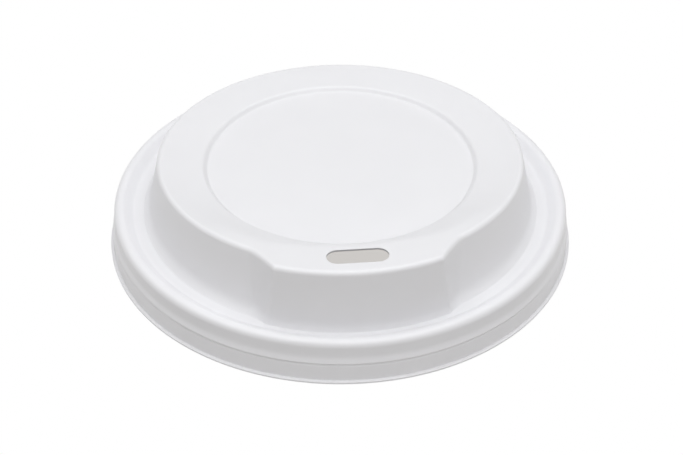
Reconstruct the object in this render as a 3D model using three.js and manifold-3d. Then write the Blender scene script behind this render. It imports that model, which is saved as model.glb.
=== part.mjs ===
// Takeaway coffee cup lid, one thin white moulded shell
// Millimetres, Z up. The lip stands on z = 0 and the drinking spout points along -Y.
// Angles run round Z from the spout, positive towards +X.

import * as THREE from 'three';
import { mergeVertices } from 'three/addons/utils/BufferGeometryUtils.js';
import Module from 'manifold-3d';

// Sheet
const WALL = 0.4;

// Lip and skirt
const LIP_R = 46.5;
const LIP_WIDTH = 0.6;
const SKIRT_DRAFT = 0.2;
const SKIRT_TOP_Z = 3.5;

// Groove, ridge and bead that grip the cup's rolled rim
const GROOVE_DEPTH = 0.2;
const GROOVE_HEIGHT = 0.7;
const RIDGE_DEPTH = 0.5;
const RIDGE_HEIGHT = 1.1;
const BEAD_R = 45.27;
const GRIP_DEPTH = 0.3;

// Rim: a round roll that goes over the cup, falling inwards to a level valley
const RIM_Z = 8.65;
const SHOULDER_ROUND = 1.2;
const ROLL_INNER_R = 43.4;
const ROLL_ROUND = 0.6;
const VALLEY_R = 41.6;
const VALLEY_Z = 7.05;
const VALLEY_ROUND = 0.35;

// Sloping wall of the dome, which rises from a crease in the valley
const CREASE_R = 39.4;
const WALL_FOOT_R = 38.2;
const FOOT_Z = 8.3;
const FOOT_ROUND = 0.8;
const RING_R = 35.95;
const RING_MID_Z = 18.45;
const RING_TILT = 0.0419;
const RING_ROUND = 0.9;

// Spout, which steps out from the wall between two flanks that lean outwards as they go down
const SPOUT_HALF_ANGLE = 22.9;
const FLANK_ANGLE = 10;
const FOOT_HALF_ANGLE = 24.7;
const FOOT_FLANK_ANGLE = 5.2;
const SPOUT_STEP = 3.4;
const SPOUT_FOOT_STEP = 1.95;
const SPOUT_CREASE_STEP = 1.1;

// Land round the drinking slot, nearly level, falling off inwards to the recess
const LAND_INNER_R = 30.7;
const LAND_FLARE = 1.6;
const LAND_FLARE_ANGLE = 8;
const LAND_DROP = 0.35;
const LAND_ROUND = 1.2;
const LAND_FULL_ANGLE = 38;
const LAND_END_ANGLE = 60;

// Round recess in the top
const RECESS_R = 27.1;
const RECESS_Z = 16.62;
const RECESS_FRONT_RISE = 0.4;
const RECESS_ROUND = 0.35;
const FLOOR_R = 26.35;
const FLOOR_Z = 15.8;
const FLOOR_ROUND = 0.2;

// Drinking slot
const SLOT_LENGTH = 11.3;
const SLOT_WIDTH = 4.1;
const SLOT_R = 34.35;

// Half turn round the lid: ends of the spout's front, flank, land and back, at the ring and at
// the wall's foot, and the steps up to each
const TURN_ENDS = [SPOUT_HALF_ANGLE, SPOUT_HALF_ANGLE + FLANK_ANGLE, LAND_END_ANGLE, 180];
const FOOT_ENDS = [FOOT_HALF_ANGLE, FOOT_HALF_ANGLE + FOOT_FLANK_ANGLE, LAND_END_ANGLE, 180];
const TURN_STEPS = [5, 6, 6, 20];

const smooth = THREE.MathUtils.smoothstep;
const mix = THREE.MathUtils.lerp;

// How far the spout has stepped out at an angle, 0 on the plain wall and 1 on its front
function spoutShare(angle) {
  const left = (SPOUT_HALF_ANGLE + FLANK_ANGLE - Math.abs(angle)) / FLANK_ANGLE;
  return THREE.MathUtils.clamp(left, 0, 1) ** 1.5;
}

// A corner of the section: radius, height, how far its rounding reaches, and its steps
function corner(r, z, round = 0, steps = 1) {
  return { at: new THREE.Vector2(r, z), round, steps };
}

// Upper skin from the shoulder to the middle of the recess, at one angle
function topCorners(angle) {
  const share = spoutShare(angle);
  const front = Math.cos(THREE.MathUtils.degToRad(angle));
  const land = 1 - smooth(Math.abs(angle), LAND_FULL_ANGLE, LAND_END_ANGLE);
  const edgeR = RING_R + SPOUT_STEP * share;
  const edgeZ = RING_MID_Z + RING_TILT * edgeR * front;
  const crestR = LAND_INNER_R + LAND_FLARE * smooth(Math.abs(angle), LAND_FLARE_ANGLE, LAND_FULL_ANGLE);
  const brinkZ = RECESS_Z + RECESS_FRONT_RISE * land;
  const plainZ = mix(RECESS_Z, edgeZ, (crestR - RECESS_R) / (edgeR - RECESS_R));
  const crestZ = mix(plainZ, edgeZ - LAND_DROP, land);
  return [
    corner(BEAD_R, RIM_Z, SHOULDER_ROUND, 4),
    corner(ROLL_INNER_R, RIM_Z, ROLL_ROUND, 2),
    corner(VALLEY_R, VALLEY_Z, VALLEY_ROUND, 1),
    corner(CREASE_R + SPOUT_CREASE_STEP * share, VALLEY_Z),
    corner(WALL_FOOT_R + SPOUT_FOOT_STEP * share, FOOT_Z, FOOT_ROUND, 2),
    corner(edgeR, edgeZ, RING_ROUND, 3),
    corner(crestR, crestZ, LAND_ROUND, 2),
    corner(RECESS_R, brinkZ, RECESS_ROUND, 2),
    corner(FLOOR_R, FLOOR_Z, FLOOR_ROUND, 1),
    corner(0, FLOOR_Z),
  ];
}

// Outside of the lip, skirt, groove and ridge, from the lip's edge up
function skirtCorners() {
  const footR = LIP_R - LIP_WIDTH;
  const topR = footR - SKIRT_DRAFT;
  const ridgeZ = SKIRT_TOP_Z + GROOVE_HEIGHT;
  return [
    corner(LIP_R, WALL),
    corner(footR, WALL),
    corner(topR, SKIRT_TOP_Z),
    corner(topR - GROOVE_DEPTH, SKIRT_TOP_Z + GROOVE_HEIGHT / 2),
    corner(BEAD_R + RIDGE_DEPTH, ridgeZ),
    corner(BEAD_R, ridgeZ + RIDGE_HEIGHT),
  ];
}

// Inside of the skirt, from the lip's bottom up, with the rib that grips under the cup's rim
function skirtInsideCorners() {
  const footR = LIP_R - LIP_WIDTH - WALL;
  const ribZ = SKIRT_TOP_Z + GROOVE_HEIGHT / 2;
  const beadR = BEAD_R - WALL;
  return [
    corner(LIP_R, 0),
    corner(footR, 0),
    corner(footR - SKIRT_DRAFT, SKIRT_TOP_Z - WALL),
    corner(beadR - GRIP_DEPTH, ribZ),
    corner(beadR - GRIP_DEPTH, ribZ + WALL),
    corner(beadR, ribZ + GROOVE_HEIGHT + 2 * WALL),
  ];
}

// Corners of a section moved in by the wall, each rounding changed to keep the wall even
function inset(corners, before) {
  const points = corners.map((c) => c.at);
  return corners.slice(0, -1).map((c, i) => {
    const from = i > 0 ? points[i - 1] : before;
    const a = c.at.clone().sub(from).normalize();
    const b = points[i + 1].clone().sub(c.at).normalize();
    const share = WALL / (1 + a.dot(b));
    const at = new THREE.Vector2(c.at.x - share * (a.y + b.y), c.at.y + share * (a.x + b.x));
    const round = c.round > 0 ? c.round - share * a.cross(b) : 0;
    return { at, round, steps: c.steps };
  });
}

// Points along a section, its corners rounded by curves that touch both sides
function roundedPoints(corners) {
  return corners.flatMap((c, i) => {
    if (c.round === 0) return [c.at];
    const toStart = corners[i - 1].at.clone().sub(c.at).setLength(c.round);
    const toEnd = corners[i + 1].at.clone().sub(c.at).setLength(c.round);
    const curve = new THREE.QuadraticBezierCurve(c.at.clone().add(toStart), c.at, c.at.clone().add(toEnd));
    return curve.getPoints(c.steps);
  });
}

// Outer and inner skin at one angle, each from the lip to the middle
function section(angle) {
  const top = topCorners(angle);
  const skirt = skirtCorners();
  const under = inset(top, skirt.at(-1).at);
  const middle = corner(0, FLOOR_Z - WALL);
  return {
    outer: roundedPoints([...skirt, ...top]).slice(0, -1),
    inner: roundedPoints([...skirtInsideCorners(), ...under, middle]).slice(0, -1),
  };
}

// Angles round the lid, closer together on the flanks of the spout
function turnAngles() {
  const half = [0];
  TURN_ENDS.forEach((end, k) => {
    const start = half.at(-1);
    for (let i = 1; i <= TURN_STEPS[k]; i += 1) {
      half.push(mix(start, end, i / TURN_STEPS[k]));
    }
  });
  return [...half.slice(1, -1).reverse().map((a) => -a), ...half];
}

// Angle of a point of the section at a height: below the ring the angles move evenly to those
// that the spout's flanks have at the wall's foot
function turned(angle, z) {
  const size = Math.abs(angle);
  const k = TURN_ENDS.findIndex((end) => size <= end);
  const start = k > 0 ? TURN_ENDS[k - 1] : 0;
  const footStart = k > 0 ? FOOT_ENDS[k - 1] : 0;
  const atFoot = THREE.MathUtils.mapLinear(size, start, TURN_ENDS[k], footStart, FOOT_ENDS[k]);
  const rise = THREE.MathUtils.clamp((z - FOOT_Z) / (RING_MID_Z - FOOT_Z), 0, 1);
  return THREE.MathUtils.degToRad(Math.sign(angle) * mix(atFoot, size, rise));
}

// The closed shell: both skins carried round, joined at the lip and closed in the middle
function shellGeometry() {
  const loops = turnAngles().map((angle) => {
    const { outer, inner } = section(angle);
    return [...inner.reverse(), ...outer].map((p) => {
      const turn = turned(angle, p.y);
      return new THREE.Vector3(p.x * Math.sin(turn), -p.x * Math.cos(turn), p.y);
    });
  });
  const count = loops[0].length;
  const points = loops.flat();
  const bottom = points.push(new THREE.Vector3(0, 0, FLOOR_Z - WALL)) - 1;
  const top = points.push(new THREE.Vector3(0, 0, FLOOR_Z)) - 1;
  const index = [];
  loops.forEach((loop, i) => {
    const a = i * count;
    const b = ((i + 1) % loops.length) * count;
    index.push(bottom, b, a, top, a + count - 1, b + count - 1);
    for (let j = 0; j < count - 1; j += 1) {
      index.push(a + j, b + j, b + j + 1, a + j, b + j + 1, a + j + 1);
    }
  });
  const geometry = new THREE.BufferGeometry().setFromPoints(points);
  geometry.setIndex(index);
  return geometry;
}

// Upright prism with round ends that cuts the drinking slot
function slotGeometry() {
  const shape = new THREE.Shape();
  const end = SLOT_WIDTH / 2;
  const half = SLOT_LENGTH / 2 - end;
  shape.absarc(half, 0, end, -Math.PI / 2, Math.PI / 2);
  shape.absarc(-half, 0, end, Math.PI / 2, Math.PI * 1.5);
  const height = RING_MID_Z - FLOOR_Z + 4 * RING_TILT * RING_R;
  const geometry = new THREE.ExtrudeGeometry(shape, { depth: height, bevelEnabled: false, curveSegments: 10 });
  geometry.translate(0, -SLOT_R, FLOOR_Z);
  return geometry;
}

// Exchange of geometry with the boolean library
function toManifold(wasm, geometry) {
  const bare = geometry.clone();
  bare.deleteAttribute('normal');
  bare.deleteAttribute('uv');
  const merged = mergeVertices(bare, 1e-4);
  const vertProperties = new Float32Array(merged.attributes.position.array);
  const triVerts = new Uint32Array(merged.index.array);
  return new wasm.Manifold(new wasm.Mesh({ numProp: 3, vertProperties, triVerts }));
}

function toGeometry(solid) {
  const mesh = solid.getMesh();
  const geometry = new THREE.BufferGeometry();
  geometry.setAttribute('position', new THREE.BufferAttribute(mesh.vertProperties, 3));
  geometry.setIndex(new THREE.BufferAttribute(mesh.triVerts, 1));
  geometry.computeVertexNormals();
  return geometry;
}

const wasm = await Module();
wasm.setup();

const shell = toManifold(wasm, shellGeometry());
const slot = toManifold(wasm, slotGeometry());
const plastic = new THREE.MeshStandardMaterial({ color: 0xf2f2f4, roughness: 0.45, metalness: 0 });
const lid = new THREE.Mesh(toGeometry(shell.subtract(slot)), plastic);
lid.name = 'lid';

const part = new THREE.Group();
part.name = 'coffee_cup_lid';
part.add(lid);

export default part;
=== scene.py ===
# %% [markdown]
# # A takeaway coffee cup lid
# The real lid is one sheet of white plastic, softened by heat and drawn over a mould.
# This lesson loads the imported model, sets a camera where the photographer stood, works out the
# sheet's two skins as surfaces, gives them a plastic finish, and lights them softly from above.

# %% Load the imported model
import math

import bpy
import numpy as np
from mathutils import Matrix, Vector


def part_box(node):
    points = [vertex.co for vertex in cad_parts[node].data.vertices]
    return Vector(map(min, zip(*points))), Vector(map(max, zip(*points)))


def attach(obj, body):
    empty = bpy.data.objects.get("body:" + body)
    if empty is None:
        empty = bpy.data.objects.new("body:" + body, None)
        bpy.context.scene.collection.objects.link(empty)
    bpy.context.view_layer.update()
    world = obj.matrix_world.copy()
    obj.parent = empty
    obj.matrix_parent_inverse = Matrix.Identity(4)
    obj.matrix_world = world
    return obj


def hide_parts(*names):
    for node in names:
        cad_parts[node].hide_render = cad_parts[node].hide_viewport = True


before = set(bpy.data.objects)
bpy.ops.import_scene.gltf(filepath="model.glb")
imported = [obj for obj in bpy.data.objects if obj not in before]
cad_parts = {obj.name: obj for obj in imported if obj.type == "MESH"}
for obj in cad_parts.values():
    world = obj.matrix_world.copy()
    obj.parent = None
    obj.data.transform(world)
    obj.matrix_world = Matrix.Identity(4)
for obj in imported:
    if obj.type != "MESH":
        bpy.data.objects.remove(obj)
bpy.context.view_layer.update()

MM = 0.001

# %% [markdown]
# ## Camera
# A product photograph is taken from a little way off, so near and far sides differ only slightly
# in scale. We could place the camera by eye, but a lens given by its focal length in pixels and
# an orbit given by azimuth, elevation and distance are easier to check and to change.

# %% Camera
PHOTO_WIDTH = 683
PHOTO_HEIGHT = 455
FOCAL_PIXELS = 1500.0
CAMERA_AZIMUTH = math.radians(-5.3)
CAMERA_ELEVATION = math.radians(37.73)
CAMERA_ROLL = math.radians(0.09)
CAMERA_DISTANCE = 307.25 * MM
ORIGIN_PIXEL = (340.11, 226.56)
SENSOR_WIDTH = 36.0


def orbit_point(azimuth, elevation, distance):
    """Point seen from the origin at these angles: azimuth 0 is -Y and grows towards +X."""
    across = math.cos(elevation)
    return Vector((math.sin(azimuth) * across, -math.cos(azimuth) * across, math.sin(elevation))) * distance


def add_camera():
    """Camera on its orbit, aimed at the origin, with the origin at its pixel in the photograph."""
    lens = bpy.data.cameras.new("camera")
    lens.sensor_fit = "HORIZONTAL"
    lens.sensor_width = SENSOR_WIDTH
    lens.lens = FOCAL_PIXELS / PHOTO_WIDTH * SENSOR_WIDTH
    lens.shift_x = (PHOTO_WIDTH / 2 - ORIGIN_PIXEL[0]) / PHOTO_WIDTH
    lens.shift_y = (ORIGIN_PIXEL[1] - PHOTO_HEIGHT / 2) / PHOTO_WIDTH
    lens.clip_start = 10 * MM
    camera = bpy.data.objects.new("camera", lens)
    bpy.context.scene.collection.objects.link(camera)
    eye = orbit_point(CAMERA_AZIMUTH, CAMERA_ELEVATION, CAMERA_DISTANCE)
    turn = (-eye).to_track_quat("-Z", "Y").to_matrix().to_4x4()
    camera.matrix_world = Matrix.Translation(eye) @ turn @ Matrix.Rotation(CAMERA_ROLL, 4, "Z")
    bpy.context.scene.camera = camera
    return camera


camera = add_camera()
print("camera at", [round(v / MM, 1) for v in camera.matrix_world.translation], "lens", round(camera.data.lens, 1))

# %% [markdown]
# ## Sizes of the lid
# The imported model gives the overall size. The rest are the sizes that the mould maker would set:
# radii and heights of the corners of the section, and how far the rounding of each corner reaches.

# %% Sizes
low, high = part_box("lid")
WALL = 0.4 * MM
LIP_R = (high.y - low.y) / 2
LIP_WIDTH = 0.6 * MM
SKIRT_DRAFT = 0.2 * MM
SKIRT_TOP_Z = 3.5 * MM
GROOVE_DEPTH = 0.2 * MM
GROOVE_HEIGHT = 0.7 * MM
RIDGE_DEPTH = 0.5 * MM
RIDGE_HEIGHT = 1.1 * MM
BEAD_R = 45.27 * MM
GRIP_DEPTH = 0.3 * MM
RIM_Z = 8.65 * MM
SHOULDER_ROUND = 1.2 * MM
ROLL_INNER_R = 43.4 * MM
ROLL_ROUND = 0.6 * MM
VALLEY_R = 41.6 * MM
VALLEY_Z = 7.05 * MM
VALLEY_ROUND = 0.35 * MM
CREASE_R = 39.4 * MM
CREASE_ROUND = 0.12 * MM
WALL_FOOT_R = 38.2 * MM
FOOT_Z = 8.3 * MM
FOOT_ROUND = 1.15 * MM
RING_R = 35.95 * MM
RING_MID_Z = 18.45 * MM
RING_TILT = 0.0419
RING_ROUND = 0.9 * MM
SPOUT_HALF_ANGLE = 22.9
FLANK_ANGLE = 10.0
FOOT_HALF_ANGLE = 24.7
FOOT_FLANK_ANGLE = 5.2
SPOUT_STEP = 3.4 * MM
SPOUT_FOOT_STEP = 1.95 * MM
SPOUT_CREASE_STEP = 1.1 * MM
SPOUT_EDGE_SOFTNESS = 0.025
FLANK_POWER = 1.5
LAND_INNER_R = 30.7 * MM
LAND_FLARE = 1.6 * MM
LAND_DROP = 0.35 * MM
LAND_ROUND = 1.2 * MM
LAND_FLARE_ANGLE = 8.0
LAND_FULL_ANGLE = 38.0
LAND_END_ANGLE = 60.0
RECESS_R = 27.1 * MM
RECESS_Z = 16.62 * MM
RECESS_FRONT_RISE = 0.4 * MM
RECESS_ROUND = 0.35 * MM
FLOOR_R = 26.35 * MM
FLOOR_Z = 15.8 * MM
FLOOR_ROUND = 0.25 * MM
MIDDLE_R = 0.3 * MM
LIP_ROUND = 0.1 * MM
LIP_UNDER_ROUND = 0.05 * MM
FINE_ROUND = 0.15 * MM
GROOVE_ROUND = 0.12 * MM
BEAD_FOOT_ROUND = 0.5 * MM
SKIRT_INSIDE_ROUND = 0.2 * MM
BEAD_INSIDE_ROUND = 0.4 * MM
SLOT_LENGTH = 11.3 * MM
SLOT_WIDTH = 4.1 * MM
SLOT_R = 34.35 * MM
print("lip radius from the packed model:", round(LIP_R / MM, 3), "mm")

# %% [markdown]
# ## Helpers for sections
# A section is a chain of corners, each with a radius, a height and a rounding. Every corner is an
# array over the angles round the lid, so one call makes the section at all angles at once. A
# rounded corner is an exact arc: a rational curve through the two touching points, with the
# corner as its middle control point and the sine of half the corner's angle as its weight.


# %% Section helpers
def ease(x, start, end):
    """0 before start, 1 after end, and in between t * t * (3 - 2 * t), where t is the share of the way."""
    t = np.clip((x - start) / (end - start), 0, 1)
    return t * t * (3 - 2 * t)


def blend(a, b, share):
    """a where share is 0 and b where it is 1: a + (b - a) * share."""
    return a + (b - a) * share


def corner(r, z, cut=0.0, arc=0, gap=1):
    """Corner of a section: radius, height, reach of its rounding, steps on its arc, steps before it."""
    return {"r": r, "z": z, "cut": cut, "arc": arc, "gap": gap}


def as_points(corners, count):
    """Corner positions as one array: corner, angle, (radius, height)."""
    flat = [np.stack([np.broadcast_to(c["r"], count), np.broadcast_to(c["z"], count)], -1) for c in corners]
    return np.array(flat)


def unit(v):
    """Each vector divided by its own length."""
    return v / np.linalg.norm(v, axis=-1, keepdims=True)


def section(corners, count):
    """Rounded section at every angle, and the first and last column of each corner's arc.
    Straight stretches are spaced as 0.5 - 0.5 * cos(pi * t), so that they are finer near the arcs."""
    points = as_points(corners, count)
    columns = [points[0][:, None]]
    arcs = [(0, 0)]
    width = 1
    for k in range(1, len(corners)):
        c = corners[k]
        at = points[k]
        if c["arc"]:
            cut = np.broadcast_to(c["cut"], count)[:, None]
            back = unit(points[k - 1] - at)
            ahead = unit(points[k + 1] - at)
            weight = np.sqrt((1 - (back * ahead).sum(-1)) / 2)[:, None, None]
            t = np.linspace(0, 1, c["arc"] + 1)[None, :, None]
            ends = (at + back * cut)[:, None] * (1 - t) ** 2 + (at + ahead * cut)[:, None] * t**2
            bowed = 2 * t * (1 - t) * weight
            arc = (ends + bowed * at[:, None]) / ((1 - t) ** 2 + bowed + t**2)
        else:
            arc = at[:, None]
        share = (0.5 - 0.5 * np.cos(np.pi * np.arange(1, c["gap"]) / c["gap"]))[None, :, None]
        columns.append(blend(columns[-1][:, -1:], arc[:, :1], share))
        columns.append(arc)
        arcs.append((width + c["gap"] - 1, width + c["gap"] - 1 + arc.shape[1] - 1))
        width = arcs[-1][1] + 1
    return np.concatenate(columns, axis=1), arcs


def inset(corners, before, count, wall):
    """Corners moved into the sheet by the wall: each goes along the sum of its two sides' normals,
    divided by 1 + the cosine between them, and its rounding shrinks or grows to keep the wall even."""
    points = as_points([before, *corners], count)
    moved = []
    for k, c in enumerate(corners[:-1], start=1):
        a = unit(points[k] - points[k - 1])
        b = unit(points[k + 1] - points[k])
        share = wall / (1 + (a * b).sum(-1))
        r = points[k][:, 0] - share * (a[:, 1] + b[:, 1])
        z = points[k][:, 1] + share * (a[:, 0] + b[:, 0])
        turn = a[:, 0] * b[:, 1] - a[:, 1] * b[:, 0]
        cut = c["cut"] - share * turn if c["arc"] else 0.0
        moved.append(corner(r, z, cut, c["arc"], c["gap"]))
    return moved


print("an eased step at a quarter, half and three quarters:", ease(np.array([0.25, 0.5, 0.75]), 0, 1))

# %% [markdown]
# ## The lid's section
# Seen from the side, the sheet starts at the cut lip, climbs the skirt, dips into a shallow groove,
# passes the ridge and goes over the cup's rim as a round roll. It falls inwards to a level valley,
# rises from a crease as the dome's wall and turns in over the top ring to the recess. On the
# spout's side the wall stands further out, more at the top than at its foot.


# %% Corners of the section
def spout_share(angle):
    """How far the spout has stepped out: the share of the flank passed, rounded off near 1 by
    (t + 1 - sqrt((t - 1)^2 + s^2)) / 2, then raised to a power so that it leaves the wall gently."""
    t = np.clip((SPOUT_HALF_ANGLE + FLANK_ANGLE - np.abs(angle)) / FLANK_ANGLE, 0, None)
    soft = (t + 1 - np.sqrt((t - 1) ** 2 + SPOUT_EDGE_SOFTNESS**2)) / 2
    return np.clip(soft, 0, 1) ** FLANK_POWER


def skirt_corners():
    """Outside of the lip, skirt, groove and ridge, from the lip's edge up."""
    foot_r = LIP_R - LIP_WIDTH
    top_r = foot_r - SKIRT_DRAFT
    ridge_z = SKIRT_TOP_Z + GROOVE_HEIGHT
    return [
        corner(LIP_R, WALL / 2),
        corner(LIP_R, WALL, LIP_ROUND, 3),
        corner(foot_r, WALL, FINE_ROUND, 3),
        corner(top_r, SKIRT_TOP_Z, FINE_ROUND, 4, 6),
        corner(top_r - GROOVE_DEPTH, SKIRT_TOP_Z + GROOVE_HEIGHT / 2, GROOVE_ROUND, 3, 2),
        corner(BEAD_R + RIDGE_DEPTH, ridge_z, FINE_ROUND, 4, 2),
        corner(BEAD_R, ridge_z + RIDGE_HEIGHT, BEAD_FOOT_ROUND, 5, 3),
    ]


def top_corners(angle):
    """Upper skin from the shoulder to the middle of the recess, at every angle."""
    share = spout_share(angle)
    turn = np.abs(angle)
    land = 1 - ease(turn, LAND_FULL_ANGLE, LAND_END_ANGLE)
    edge_r = RING_R + SPOUT_STEP * share
    edge_z = RING_MID_Z + RING_TILT * edge_r * np.cos(np.radians(angle))
    crest_r = LAND_INNER_R + LAND_FLARE * ease(turn, LAND_FLARE_ANGLE, LAND_FULL_ANGLE)
    brink_z = RECESS_Z + RECESS_FRONT_RISE * land
    plain_z = blend(RECESS_Z, edge_z, (crest_r - RECESS_R) / (edge_r - RECESS_R))
    crest_z = blend(plain_z, edge_z - LAND_DROP, land)
    return [
        corner(BEAD_R, RIM_Z, SHOULDER_ROUND, 10, 3),
        corner(ROLL_INNER_R, RIM_Z, ROLL_ROUND, 6),
        corner(VALLEY_R, VALLEY_Z, VALLEY_ROUND, 4, 3),
        corner(CREASE_R + SPOUT_CREASE_STEP * share, VALLEY_Z, CREASE_ROUND, 4, 2),
        corner(WALL_FOOT_R + SPOUT_FOOT_STEP * share, FOOT_Z, FOOT_ROUND, 5, 2),
        corner(edge_r, edge_z, RING_ROUND, 9, 8),
        corner(crest_r, crest_z, LAND_ROUND, 7, 12),
        corner(RECESS_R, brink_z, RECESS_ROUND, 4, 5),
        corner(FLOOR_R, FLOOR_Z, FLOOR_ROUND, 4, 3),
        corner(MIDDLE_R, FLOOR_Z, 0, 0, 6),
    ]


def skirt_inside_corners():
    """Inside of the skirt, from the lip's bottom up, with the rib that grips under the cup's rim."""
    foot_r = LIP_R - LIP_WIDTH - WALL
    rib_z = SKIRT_TOP_Z + GROOVE_HEIGHT / 2
    bead_r = BEAD_R - WALL
    return [
        corner(LIP_R, WALL / 4),
        corner(LIP_R, 0, LIP_UNDER_ROUND, 2),
        corner(foot_r, 0, FINE_ROUND, 3),
        corner(foot_r - SKIRT_DRAFT, SKIRT_TOP_Z - WALL, SKIRT_INSIDE_ROUND, 3, 4),
        corner(bead_r - GRIP_DEPTH, rib_z, FINE_ROUND, 3, 2),
        corner(bead_r - GRIP_DEPTH, rib_z + WALL, FINE_ROUND, 3),
        corner(bead_r, rib_z + GROOVE_HEIGHT + 2 * WALL, BEAD_INSIDE_ROUND, 3, 2),
    ]


def skins(angle):
    """Outer and inner section at every angle, and where their corners' arcs lie."""
    top = top_corners(angle)
    skirt = skirt_corners()
    under = inset(top, skirt[-1], len(angle), WALL)
    middle = corner(MIDDLE_R, FLOOR_Z - WALL, 0, 0, 6)
    outer, outer_arcs = section([*skirt, *top], len(angle))
    inner, inner_arcs = section([*skirt_inside_corners(), *under, middle], len(angle))
    return outer, inner, outer_arcs[len(skirt) :], inner_arcs[len(skirt) :]


test_outer, test_inner, _, _ = skins(np.array([0.0, 90.0, 180.0]))
print("points on the outer and inner section:", test_outer.shape[1], test_inner.shape[1])

# %% [markdown]
# ## Turning the sections into a sheet
# The sections are carried round the axis: at each angle, x = r * sin(angle) and
# y = -r * cos(angle). The drinking slot is punched through the land. A boolean cut would leave
# thin triangles that shade badly, so a patch of the grid is left out instead, and rings of
# points lead from its border to the slot's outline, down through the wall and out again below.


# %% Slot outline and rings
def turn_angles():
    """Angles round the lid in degrees, closer together on the flanks of the spout."""
    ends = [0, SPOUT_HALF_ANGLE - 2, SPOUT_HALF_ANGLE + FLANK_ANGLE + 2, LAND_END_ANGLE, 180]
    steps = [24, 56, 22, 76]
    half = [np.linspace(a, b, n, endpoint=False) for a, b, n in zip(ends, ends[1:], steps)]
    half = np.concatenate([*half, [180.0]])
    return np.concatenate([-half[1:-1][::-1], half])


def turned(angle, z):
    """Angle of a point of the section at a height: the spout's flanks lean, so from the ring down
    to the wall's foot the angles move evenly to those that the flanks have at the foot."""
    end = SPOUT_HALF_ANGLE + FLANK_ANGLE
    foot_end = FOOT_HALF_ANGLE + FOOT_FLANK_ANGLE
    at_foot = np.interp(np.abs(angle), [0, SPOUT_HALF_ANGLE, end, LAND_END_ANGLE, 180],
                        [0, FOOT_HALF_ANGLE, foot_end, LAND_END_ANGLE, 180])
    rise = np.clip((z - FOOT_Z) / (RING_MID_Z - FOOT_Z), 0, 1)
    return np.sign(angle) * blend(at_foot, np.abs(angle), rise)


def slot_outline(s, length, width):
    """Point at distance s along an outline with round ends, from the middle of its front side
    towards +X: two straight runs joined by two half turns of radius width / 2."""
    radius = width / 2
    h = (length - width) / 2
    bend = math.pi * radius
    marks = np.cumsum([0, h, bend, 2 * h, bend, h])
    turn = np.interp(s % marks[-1], marks, [0, 0, math.pi, math.pi, 2 * math.pi, 2 * math.pi])
    x = np.interp(s % marks[-1], marks, [0, h, h, -h, -h, 0])
    return np.stack([x + radius * np.sin(turn), -radius * np.cos(turn) - SLOT_R], -1)


def slot_marks(rows, columns):
    """Distances along the slot's outline for the border of a patch of that many rows and columns:
    the patch's four corners meet the middles of the four quarter turns."""
    h = (SLOT_LENGTH - SLOT_WIDTH) / 2
    quarter = math.pi * SLOT_WIDTH / 8
    side = 2 * h + 2 * quarter
    end = 2 * quarter
    lengths = [(side, rows), (end, columns), (side, rows), (end, columns)]
    marks, start = [], -side / 2
    for length, steps in lengths:
        marks.append(start + length * np.arange(steps) / steps)
        start += length
    return np.concatenate(marks)


def land_height(xy, angle, skin, columns):
    """Height of the straight stretch of a skin's land at plan points: a line between the
    stretch's two ends, which are read at each point's own angle."""
    r = np.hypot(xy[..., 0], xy[..., 1])
    at = np.degrees(np.arctan2(xy[..., 0], -xy[..., 1]))
    first, last = (skin[:, c] for c in columns)
    r0, z0 = (np.interp(at, angle, first[:, k]) for k in (0, 1))
    r1, z1 = (np.interp(at, angle, last[:, k]) for k in (0, 1))
    return z0 + (z1 - z0) * (r - r0) / (r1 - r0)


print("slot outline at its front, right and back:",
      np.round(slot_outline(np.array([0.0, 7.6, 15.2]) * MM, SLOT_LENGTH, SLOT_WIDTH) / MM, 2).tolist())


# %% The sheet
PATCH_ANGLE = 13.5
PATCH_STEPS = 7
SLOT_BEVEL = 0.05 * MM
SLOT_CHAMFER = 0.03 * MM


def strips(first, second):
    """Quads between two rings of vertex numbers, each joined to the next one round."""
    return np.stack([first, np.roll(first, -1), np.roll(second, -1), second], -1)


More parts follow.
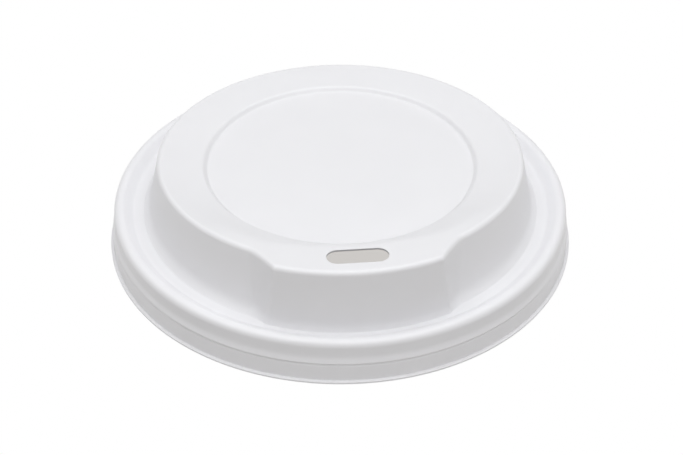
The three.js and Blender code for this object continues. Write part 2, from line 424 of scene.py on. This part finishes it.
def lid_sheet():
    """Points and faces of the closed sheet: the inner section read backwards and the outer one
    forwards, carried round; two fans close the middle, and rings line the slot."""
    angle = turn_angles()
    outer, inner, outer_arcs, inner_arcs = skins(angle)
    loop = np.concatenate([inner[:, ::-1], outer], axis=1)
    n, m, _ = loop.shape
    turn = np.radians(turned(angle[:, None], loop[..., 1]))
    grid = np.stack([loop[..., 0] * np.sin(turn), -loop[..., 0] * np.cos(turn), loop[..., 1]], -1)
    number = np.arange(n * m).reshape(n, m)

    after = np.roll(number, -1, axis=0)
    quads = np.stack([number[:, :-1], after[:, :-1], after[:, 1:], number[:, 1:]], -1)
    keep = np.ones((n, m - 1), bool)
    i0, i1 = np.searchsorted(angle, (-PATCH_ANGLE, PATCH_ANGLE))
    outer_span = (outer_arcs[5][1], outer_arcs[6][0])
    inner_span = (inner_arcs[5][1], inner_arcs[6][0])
    o0, o1 = (inner.shape[1] + c for c in outer_span)
    n1, n0 = (inner.shape[1] - 1 - c for c in inner_span)
    keep[i0:i1, o0:o1] = False
    keep[i0:i1, n0:n1] = False

    def border(front, back):
        rows = np.arange(i0, i1)
        step = 1 if back > front else -1
        columns = np.arange(front, back, step)
        return np.concatenate([
            number[rows, front],
            number[i1, columns],
            number[rows[::-1] + 1, back],
            number[i0, columns[::-1] + step],
        ])

    top_border = border(o0, o1)
    low_border = border(n1, n0)
    marks = slot_marks(i1 - i0, o1 - o0)
    flat = grid.reshape(-1, 3)
    wide = slot_outline(marks, SLOT_LENGTH, SLOT_WIDTH)
    centre = np.stack([np.clip(wide[:, 0], -(SLOT_LENGTH - SLOT_WIDTH) / 2, (SLOT_LENGTH - SLOT_WIDTH) / 2),
                       np.full(len(wide), -SLOT_R)], -1)
    outward = unit(wide - centre)
    rings = []

    def add_ring(xy, z):
        rings.append(np.column_stack([xy, z]))

    brim = wide + outward * SLOT_BEVEL
    for t in np.linspace(0, 1, PATCH_STEPS + 1)[1:]:
        xy = blend(flat[top_border, :2], brim, t)
        add_ring(xy, land_height(xy, angle, outer, outer_span))
    top_z = rings[-1][:, 2]
    for bend in np.radians([30, 60, 90]):
        xy = brim - outward * SLOT_BEVEL * math.sin(bend)
        add_ring(xy, top_z - SLOT_BEVEL * (1 - math.cos(bend)))
    add_ring(wide, land_height(wide, angle, inner, inner_span) + SLOT_CHAMFER)
    under = wide + outward * SLOT_CHAMFER
    for t in np.linspace(1, 0, PATCH_STEPS + 1)[:-1]:
        xy = blend(flat[low_border, :2], under, t)
        add_ring(xy, land_height(xy, angle, inner, inner_span))

    count = len(top_border)
    start = n * m
    ring_numbers = [top_border]
    ring_numbers += [start + k * count + np.arange(count) for k in range(len(rings))]
    ring_numbers += [low_border]
    slot_faces = np.concatenate([strips(a, b) for a, b in zip(ring_numbers, ring_numbers[1:])])

    low_pole = start + len(rings) * count
    poles = np.array([[0, 0, FLOOR_Z - WALL], [0, 0, FLOOR_Z]])
    points = np.concatenate([flat, *rings, poles])
    first, last = number[:, 0], number[:, -1]
    fans = [np.stack([np.full(n, low_pole), np.roll(first, -1), first], -1),
            np.stack([np.full(n, low_pole + 1), last, np.roll(last, -1)], -1)]
    return points, [quads[keep], slot_faces], fans


def make_piece(name, points, quads, triangles):
    """Mesh object at the origin from arrays of points, four-sided and three-sided faces, shaded smooth."""
    faces = [*np.concatenate(quads).tolist(), *np.concatenate(triangles).tolist()]
    used = np.unique(np.concatenate([np.concatenate(quads).ravel(), np.concatenate(triangles).ravel()]))
    place = np.full(len(points), -1)
    place[used] = np.arange(len(used))
    mesh = bpy.data.meshes.new(name)
    mesh.from_pydata(points[used].tolist(), [], [place[f].tolist() for f in faces])
    mesh.polygons.foreach_set("use_smooth", np.ones(len(mesh.polygons), bool))
    mesh.update()
    piece = bpy.data.objects.new(name, mesh)
    bpy.context.scene.collection.objects.link(piece)
    return piece


lid = make_piece("lid_sheet", *lid_sheet())
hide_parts("lid")
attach(lid, "root")
print("lid sheet:", len(lid.data.vertices), "points,", len(lid.data.polygons), "faces")

# %% [markdown]
# ## Shader maths as expressions
# Node trees are easier to read as formulas. One small class wraps a node's output socket, and
# its operators add Math nodes. Any other node comes from one method that first makes the
# settings and then fills the sockets, with values or with other wrapped sockets.


# %% Socket class
class Value:
    """An output socket whose operators add Math nodes to its tree."""

    def __init__(self, tree, socket):
        self.tree = tree
        self.socket = socket

    def node(self, kind, settings=None, output=0, **inputs):
        """Add a node: its type, its settings, then its sockets by name or by _number."""
        made = self.tree.nodes.new(kind)
        for key, value in (settings or {}).items():
            setattr(made, key, value)
        for key, value in inputs.items():
            slot = made.inputs[int(key[1:])] if key[0] == "_" else made.inputs[key.replace("_", " ")]
            if isinstance(value, Value):
                self.tree.links.new(value.socket, slot)
            else:
                slot.default_value = value
        return Value(self.tree, made.outputs[output])

    def maths(self, operation, first, second=0.0):
        return self.node("ShaderNodeMath", {"operation": operation}, _0=first, _1=second)

    def __add__(self, other):
        return self.maths("ADD", self, other)

    def __sub__(self, other):
        return self.maths("SUBTRACT", self, other)

    def __mul__(self, other):
        return self.maths("MULTIPLY", self, other)

    def __truediv__(self, other):
        return self.maths("DIVIDE", self, other)

    def __rsub__(self, other):
        return self.maths("SUBTRACT", other, self)

    def __rtruediv__(self, other):
        return self.maths("DIVIDE", other, self)

    __radd__ = __add__
    __rmul__ = __mul__


def new_material(name):
    """Material with an empty tree, its output node, and a wrapped Object coordinate."""
    material = bpy.data.materials.new(name)
    material.use_nodes = True
    tree = material.node_tree
    tree.nodes.clear()
    output = tree.nodes.new("ShaderNodeOutputMaterial")
    place = tree.nodes.new("ShaderNodeTexCoord").outputs["Object"]
    return material, output, Value(tree, place)


print("socket class ready")

# %% [markdown]
# ## White moulded plastic
# The sheet is satin white polystyrene: nearly smooth, a little softer where it was drawn, and
# thin enough that light seeps through and fills the hollow. A slight bump gives the broad
# waves of a drawn sheet and its fine skin, and subsurface scattering lets the light through.

# %% Plastic
PLASTIC_COLOUR = (0.842, 0.84, 0.858, 1.0)
PLASTIC_SHADE = (0.822, 0.82, 0.838, 1.0)
WAVE_SCALE = 110.0
SKIN_SCALE = 2600.0


def white_plastic():
    """Colour and roughness drift with broad noise; the bump adds broad waves and a fine skin."""
    material, output, place = new_material("white_plastic")
    waves = place.node("ShaderNodeTexNoise", None, 0, Vector=place, Scale=WAVE_SCALE, Detail=2.0, Roughness=0.45)
    skin = place.node("ShaderNodeTexNoise", None, 0, Vector=place, Scale=SKIN_SCALE, Detail=3.0, Roughness=0.6)
    colour = place.node("ShaderNodeMix", {"data_type": "RGBA"}, 2, _0=waves, _6=PLASTIC_SHADE, _7=PLASTIC_COLOUR)
    relief = waves * 0.9 + skin * 0.04
    normal = place.node("ShaderNodeBump", None, 0, Strength=0.25, Distance=0.06 * MM, Height=relief)
    rough = waves * 0.08 + skin * 0.05 + 0.3
    shader = place.node("ShaderNodeBsdfPrincipled", {"subsurface_method": "RANDOM_WALK"}, 0, Base_Color=colour,
                        Roughness=rough, Normal=normal, IOR=1.5, Subsurface_Weight=0.25,
                        Subsurface_Radius=(1.0, 1.0, 1.0), Subsurface_Scale=0.5 * MM)
    material.node_tree.links.new(shader.socket, output.inputs["Surface"])
    return material


lid.data.materials.append(white_plastic())
print("lid finish:", lid.data.materials[0].name)

# %% [markdown]
# ## Floor and white surround
# The photograph shows pure white all round the lid. More light would burn out the lid itself, so
# the floor is an ordinary pale surface to the light, and only what the camera, a reflection or a
# transmitted ray sees of it is lifted to white. Under the lid it glows a set soft grey instead: painted
# light, standing in for the light that seeps through the thin sheet into the hollow, which the slot
# shows. At a full lift the floor that is seen shows no shadow of the lid; a lower one lets the shadow through.

# %% Floor
FLOOR_SIZE = 3.0
FLOOR_COLOUR = (0.56, 0.55, 0.54, 1.0)
FLOOR_LIFT = 1.0
# Painted light: the grey that the floor under the lid glows, in place of light seeping through the sheet.
PAINTED_HOLLOW_GLOW = (0.61, 0.59, 0.57, 1.0)
HOLLOW_MARGIN = 1 * MM


def seen_directly(place):
    """1 for rays that show the background: camera, glossy and transmission rays."""
    rays = place.tree.nodes.new("ShaderNodeLightPath").outputs
    camera_ray, glossy, through = (Value(place.tree, rays[k]) for k in
                                   ("Is Camera Ray", "Is Glossy Ray", "Is Transmission Ray"))
    either = place.maths("MAXIMUM", camera_ray, glossy)
    return place.maths("MAXIMUM", either, through)


def pale_floor():
    """Diffuse floor, lifted where it shows: to white outside the lip, and under the lid to a painted soft grey
    glow that stands in for the light through the sheet.
    """
    material, output, place = new_material("pale_floor")
    reach = place.node("ShaderNodeVectorMath", {"operation": "LENGTH"}, 1, _0=place)
    outside = place.maths("GREATER_THAN", reach, LIP_R - HOLLOW_MARGIN)
    # Painted light: under the lid the seen floor glows a set grey in place of the light through the sheet; outside
    # the lip it is the white backdrop.
    backdrop_and_painted_hollow = place.node("ShaderNodeMix", {"data_type": "RGBA"}, 2, _0=outside, _6=PAINTED_HOLLOW_GLOW, _7=(1, 1, 1, 1))
    glow = place.node("ShaderNodeEmission", None, 0, Color=backdrop_and_painted_hollow, Strength=1.0)
    plain = place.node("ShaderNodeBsdfDiffuse", None, 0, Color=FLOOR_COLOUR)
    share = seen_directly(place) * FLOOR_LIFT
    shader = place.node("ShaderNodeMixShader", None, 0, _0=share, _1=plain, _2=glow)
    material.node_tree.links.new(shader.socket, output.inputs["Surface"])
    return material


side = FLOOR_SIZE / 2
square = np.array([[-side, -side, 0], [side, -side, 0], [side, side, 0], [-side, side, 0]], float)
floor_mesh = bpy.data.meshes.new("floor")
floor_mesh.from_pydata(square.tolist(), [], [[0, 1, 2, 3]])
floor = bpy.data.objects.new("floor", floor_mesh)
bpy.context.scene.collection.objects.link(floor)
floor.data.materials.append(pale_floor())
print("floor side:", FLOOR_SIZE, "m")

# %% [markdown]
# ## Light
# Level faces of the lid are about a fifth brighter than its upright walls, and no shadow has a
# hard edge. That is the look of one broad soft light overhead in a white room. The room is the
# world, plain, even and slightly warm, and the broad light is an area lamp overhead. Three weak
# lamps from the front, left and right keep the walls and the shoulder from falling too dark.

# %% World and lamps
WORLD_STRENGTH = 0.34
WORLD_COLOUR = (1.0, 0.985, 0.965, 1.0)
LAMP_SIZE = 1.3
LAMP_HEIGHT = 1.1
LAMP_POWER = 11.0
SIDE_SIZE = 0.7
SIDE_POWER = 0.6
FRONT_POWER = 1.1
TOP_COLOUR = (0.965, 0.98, 1.0)
FRONT_COLOUR = (1.0, 0.99, 0.975)
SIDE_COLOUR = (1.0, 0.99, 0.98)
FRONT_PLACE = (0.12, -0.8, 0.9)
LEFT_PLACE = (-0.9, -0.2, 0.5)
RIGHT_PLACE = (0.75, -0.55, 0.5)


def add_world():
    """Even light from all sides, which the camera sees as white."""
    world = bpy.data.worlds.new("room")
    world.use_nodes = True
    tree = world.node_tree
    tree.nodes.clear()
    output = tree.nodes.new("ShaderNodeOutputWorld")
    start = Value(tree, tree.nodes.new("ShaderNodeLightPath").outputs["Is Camera Ray"])
    strength = start * (1 - WORLD_STRENGTH) + WORLD_STRENGTH
    room = start.node("ShaderNodeBackground", None, 0, Color=WORLD_COLOUR, Strength=strength)
    tree.links.new(room.socket, output.inputs["Surface"])
    bpy.context.scene.world = world


def add_lamp(name, position, size, power, colour):
    """Square area lamp at a position, aimed at the origin."""
    lamp = bpy.data.lights.new(name, "AREA")
    lamp.shape = "SQUARE"
    lamp.size = size
    lamp.energy = power
    lamp.color = colour
    holder = bpy.data.objects.new(name, lamp)
    bpy.context.scene.collection.objects.link(holder)
    turn = (-Vector(position)).to_track_quat("-Z", "Y").to_matrix().to_4x4()
    holder.matrix_world = Matrix.Translation(position) @ turn
    return holder


add_world()
add_lamp("soft_top", (0.0, 0.0, LAMP_HEIGHT), LAMP_SIZE, LAMP_POWER, TOP_COLOUR)
add_lamp("soft_front", FRONT_PLACE, SIDE_SIZE, FRONT_POWER, FRONT_COLOUR)
add_lamp("soft_left", LEFT_PLACE, SIDE_SIZE, SIDE_POWER, SIDE_COLOUR)
add_lamp("soft_right", RIGHT_PLACE, SIDE_SIZE, SIDE_POWER, SIDE_COLOUR)
bpy.context.scene.view_settings.view_transform = "Standard"
print("world strength", WORLD_STRENGTH, "lamp power", LAMP_POWER)
